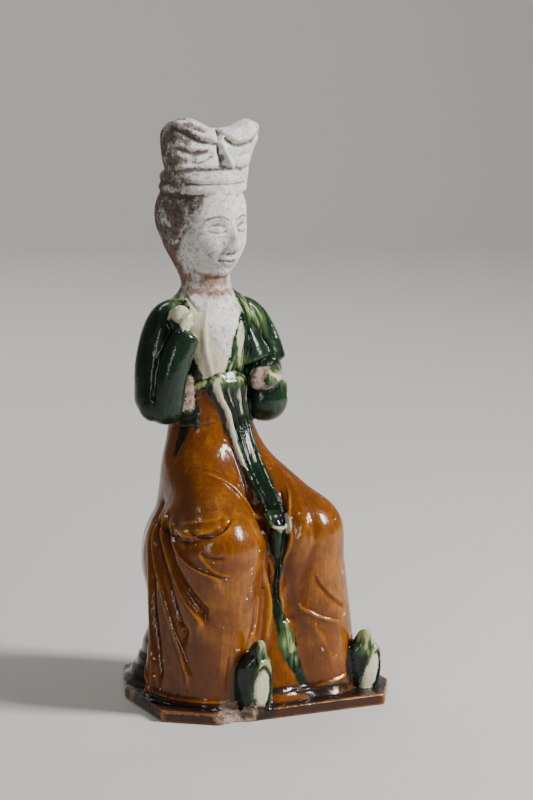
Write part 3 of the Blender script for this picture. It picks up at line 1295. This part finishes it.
def broken_clay(n):
    clay = n.blend(n.step(n.noise(900, 3), 0.35, 0.65), (0.26, 0.155, 0.11), (0.42, 0.32, 0.25))
    return n.coat(clay, n.step(n.noise(260, 6, 0.75), 0.46, 0.62), 0.8, (0.085, 0.045, 0.028))


def bare_slip(n):
    """White slip with dust, worn hair pigment, grime, brown stains and the faint lines of the face."""
    white = n.blend(n.step(n.noise(75, 5, 0.65), 0.35, 0.65), (0.86, 0.86, 0.86), (0.66, 0.64, 0.62))
    colour = n.coat(white, n.step(n.noise(330, 6, 0.78), 0.48, 0.65), 0.75, (0.28, 0.22, 0.18))
    left = n.varied(n.math("SUBTRACT", 1.0, n.layer("worn")), n.noise(110, 6, 0.68), 2.7)
    left = n.math("MULTIPLY_ADD", n.hollow, 0.6, n.varied(left, n.noise(480, 5, 0.75), 1.3))
    pigment = n.blend(n.step(n.noise(260, 6, 0.75), 0.40, 0.60), (0.15, 0.095, 0.065), (0.024, 0.018, 0.016))
    colour = n.coat(colour, n.times(n.step(left, 0.35, 0.95), n.inside("hair", 2.4, 1.6)), 0.94, pigment)
    grime = n.times(n.step(n.hollow, 0.04, 0.45), n.step(n.noise(240, 5, 0.72), 0.27, 0.52))
    colour = n.coat(colour, grime, 0.88, (0.085, 0.064, 0.060))
    rusty = n.blend(n.step(n.noise(300, 5, 0.75), 0.42, 0.58), (0.36, 0.19, 0.09), (0.11, 0.05, 0.028))
    brown = n.varied(n.layer("stain"), n.noise(200, 6, 0.75), 1.9)
    colour = n.coat(colour, n.step(brown, 0.30, 0.85), 0.9, rusty)
    spots = n.times(n.step(n.noise(420, 6, 0.8), 0.55, 0.62), n.step(n.noise(90, 3), 0.44, 0.58))
    colour = n.coat(colour, spots, 0.8, (0.30, 0.17, 0.09))
    faded = n.step(n.noise(420, 4, 0.7), 0.35, 0.55)
    lips = n.times(n.step(n.layer("lips"), -0.4, 0.5), n.times(faded, 0.6))
    colour = n.blend(lips, colour, (0.36, 0.15, 0.10))
    ink = n.times(n.step(n.layer("ink"), -0.35, 0.25), n.math("MULTIPLY_ADD", faded, 0.5, 0.35))
    return n.blend(ink, colour, (0.075, 0.050, 0.042))


# The camera, the floor and the light

def set_camera():
    sin_a, cos_a = math.sin(AZIMUTH), math.cos(AZIMUTH)
    sin_e, cos_e = math.sin(ELEVATION), math.cos(ELEVATION)
    back = np.array([sin_a * cos_e, -cos_a * cos_e, sin_e])
    right = np.array([cos_a, sin_a, 0.0])
    up = np.cross(back, right)
    aim = (-back + right * (PICTURE[0] / 2 - TARGET_PIXEL[0]) / FOCAL_PIXELS
           - up * (PICTURE[1] / 2 - TARGET_PIXEL[1]) / FOCAL_PIXELS)
    camera = bpy.data.objects.new("camera", bpy.data.cameras.new("camera"))
    camera.data.lens = FOCAL_PIXELS / PICTURE[1] * SENSOR
    camera.data.sensor_width = SENSOR
    camera.location = Vector((TARGET + back * DISTANCE) * MM)
    camera.rotation_euler = Vector(aim).to_track_quat("-Z", "Y").to_euler()
    bpy.context.scene.collection.objects.link(camera)
    bpy.context.scene.camera = camera


def softbox(name, at, target, size, power):
    light = bpy.data.lights.new(name, "AREA")
    light.shape = "RECTANGLE"
    light.size, light.size_y = size
    light.energy = power
    obj = bpy.data.objects.new(name, light)
    obj.location = at
    obj.rotation_euler = (Vector(target) - Vector(at)).to_track_quat("-Z", "Y").to_euler()
    bpy.context.scene.collection.objects.link(obj)


def set_light():
    world = bpy.data.worlds.new("studio")
    bpy.context.scene.world = world
    world.use_nodes = True
    background = world.node_tree.nodes["Background"]
    background.inputs["Color"].default_value = (0.90, 0.88, 0.85, 1)
    background.inputs["Strength"].default_value = 0.13
    softbox("key", (0.75, -1.1, 1.1), (0, 0, 0.2), (0.34, 0.6), 52)
    softbox("fill", (-1.4, -0.75, 0.6), (0, 0, 0.2), (0.12, 0.9), 4)
    softbox("backdrop", (0.3, 1.2, 2.0), (0.9, 2.4, 0.2), (1.6, 0.8), 40)


# The floor in metres: half its width, how far it runs to the front and back, its curve, and the wall's height
FLOOR_SIDE, FLOOR_FRONT, FLOOR_BACK, CURVE, WALL = 6.0, -6.0, 2.6, 1.2, 4.0


def floor():
    """A pale floor that curves up into a wall behind the figure, square to the camera."""
    curve = [(FLOOR_BACK + CURVE * math.sin(a), CURVE - CURVE * math.cos(a))
             for a in np.linspace(0.1, math.pi / 2, 16)]
    profile = [(FLOOR_FRONT, 0.0), (FLOOR_BACK, 0.0), *curve, (FLOOR_BACK + CURVE, WALL)]
    back = np.array([-math.sin(AZIMUTH), math.cos(AZIMUTH)])
    right = np.array([math.cos(AZIMUTH), math.sin(AZIMUTH)])
    points = np.array([[*(back * d + right * s), h] for d, h in profile for s in (-FLOOR_SIDE, FLOOR_SIDE)])
    faces = [[2 * i, 2 * i + 1, 2 * i + 3, 2 * i + 2] for i in range(len(profile) - 1)]
    obj = mesh_object("floor", points, faces)
    smooth_shaded(obj.data)
    material = bpy.data.materials.new("pale floor")
    material.use_nodes = True
    shader = material.node_tree.nodes["Principled BSDF"]
    shader.inputs["Base Color"].default_value = (0.58, 0.56, 0.525, 1)
    shader.inputs["Roughness"].default_value = 0.9
    obj.data.materials.append(material)


set_camera()
set_light()
floor()
shapes = gather()
figure, painted = build_figure(shapes)
paint(figure.data, shapes, painted)
place_in_metres(figure)
figure.data.materials.append(glaze_material())
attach(figure, "root")
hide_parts("attendant_figure")
